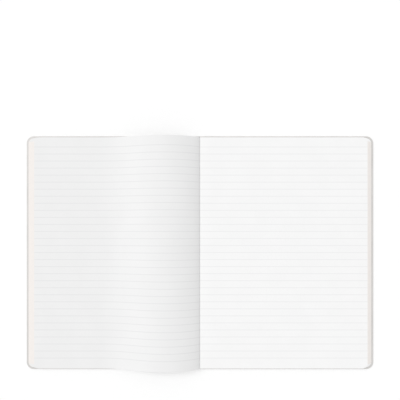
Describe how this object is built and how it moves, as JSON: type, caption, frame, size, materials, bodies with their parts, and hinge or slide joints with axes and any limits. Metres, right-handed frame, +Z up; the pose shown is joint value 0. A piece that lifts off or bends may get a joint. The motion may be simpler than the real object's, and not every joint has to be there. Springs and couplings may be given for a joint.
{
  "type": "bound notebook",
  "caption": "Sewn, case-bound ruled notebook lying open, with rounded corners, closing covers and a leaf that turns.",
  "frame": {"origin": "on the table, under the gutter, midway between head and tail", "axes": "+X across the open pages to the right, +Y towards the head of the page, +Z up"},
  "size_m": [0.3488, 0.2344, 0.0116],
  "materials": {
    "cover": "matte, fine grain",
    "board": "grey board",
    "endpaper": "matte, warm white",
    "leaf": "matte, faint rules",
    "gauze": "open weave",
    "glue": "dried adhesive",
    "thread": "waxed thread"
  },
  "bodies": {
    "back_cover": {"back_board": "board", "back_wrap": "cover", "back_endpaper": "endpaper"},
    "spine": {"spine_wrap": "cover", "spine_liner": "board", "mull": "gauze", "spine_glue": "glue", "sewing_thread": "thread"},
    "front_cover": {"front_board": "board", "front_wrap": "cover", "front_endpaper": "endpaper"},
    "signature_1": {"signature_1_sheet_1": "leaf", "signature_1_sheet_2": "leaf", "signature_1_sheet_3": "leaf", "signature_1_sheet_4": "leaf"},
    "signature_2": {"signature_2_sheet_1": "leaf", "signature_2_sheet_2": "leaf", "signature_2_sheet_3": "leaf", "signature_2_sheet_4": "leaf"},
    "signature_3": {"signature_3_sheet_1": "leaf", "signature_3_sheet_2": "leaf", "signature_3_sheet_3": "leaf", "signature_3_sheet_4": "leaf"},
    "signature_4": {"signature_4_sheet_1": "leaf", "signature_4_sheet_2": "leaf", "signature_4_sheet_3": "leaf", "signature_4_sheet_4": "leaf"},
    "signature_5": {"signature_5_sheet_1": "leaf", "signature_5_sheet_2": "leaf", "signature_5_sheet_3": "leaf", "signature_5_sheet_4": "leaf"},
    "signature_6": {"signature_6_sheet_1": "leaf", "signature_6_sheet_2": "leaf", "signature_6_sheet_3": "leaf", "signature_6_sheet_4": "leaf"},
    "turning_leaf": {"turning_leaf": "leaf"}
  },
  "joints": [
    {"name": "close", "type": "hinge", "parent": "back_cover", "child": "spine", "pos_m": [0.00269, 0, 0.00155], "axis": [0, 1, 0], "range_deg": [0, 90]},
    {"name": "front_fold", "type": "hinge", "parent": "spine", "child": "front_cover", "pos_m": [-0.00269, 0, 0.00155], "axis": [0, 1, 0], "range_deg": [0, 90]},
    {"name": "signature_1_fold", "type": "hinge", "parent": "spine", "child": "signature_1", "pos_m": [-0.00217, 0, 0.00207], "axis": [0, 1, 0], "range_deg": [0, 90], "deforming": ["signature_1_sheet_1", "signature_1_sheet_2", "signature_1_sheet_3", "signature_1_sheet_4"]},
    {"name": "signature_2_fold", "type": "hinge", "parent": "spine", "child": "signature_2", "pos_m": [-0.00109, 0, 0.00315], "axis": [0, 1, 0], "range_deg": [0, 90], "deforming": ["signature_2_sheet_1", "signature_2_sheet_2", "signature_2_sheet_3", "signature_2_sheet_4"]},
    {"name": "signature_3_fold", "type": "hinge", "parent": "spine", "child": "signature_3", "pos_m": [0, 0, 0.00424], "axis": [0, 1, 0], "range_deg": [0, 90], "deforming": ["signature_3_sheet_1", "signature_3_sheet_2", "signature_3_sheet_3", "signature_3_sheet_4"]},
    {"name": "signature_4_fold", "type": "hinge", "parent": "spine", "child": "signature_4", "pos_m": [0.00061, 0, 0.00363], "axis": [0, 1, 0], "range_deg": [-90, 0], "deforming": ["signature_4_sheet_1", "signature_4_sheet_2", "signature_4_sheet_3", "signature_4_sheet_4"]},
    {"name": "signature_5_fold", "type": "hinge", "parent": "spine", "child": "signature_5", "pos_m": [0.00145, 0, 0.00279], "axis": [0, 1, 0], "range_deg": [-90, 0], "deforming": ["signature_5_sheet_1", "signature_5_sheet_2", "signature_5_sheet_3", "signature_5_sheet_4"]},
    {"name": "signature_6_fold", "type": "hinge", "parent": "spine", "child": "signature_6", "pos_m": [0.00229, 0, 0.00195], "axis": [0, 1, 0], "range_deg": [-90, 0], "deforming": ["signature_6_sheet_1", "signature_6_sheet_2", "signature_6_sheet_3", "signature_6_sheet_4"]},
    {"name": "leaf_turn", "type": "hinge", "parent": "signature_4", "child": "turning_leaf", "pos_m": [0.00007, 0, 0.00417], "axis": [0, 1, 0], "range_deg": [-140, 0], "deforming": ["turning_leaf"]}
  ],
  "couplings": [
    {"joint": "front_fold", "follows": "close", "ratio": 1},
    {"joint": "signature_1_fold", "follows": "close", "ratio": 1},
    {"joint": "signature_2_fold", "follows": "close", "ratio": 1},
    {"joint": "signature_3_fold", "follows": "close", "ratio": 1},
    {"joint": "signature_4_fold", "follows": "close", "ratio": -1},
    {"joint": "signature_5_fold", "follows": "close", "ratio": -1},
    {"joint": "signature_6_fold", "follows": "close", "ratio": -1}
  ]
}
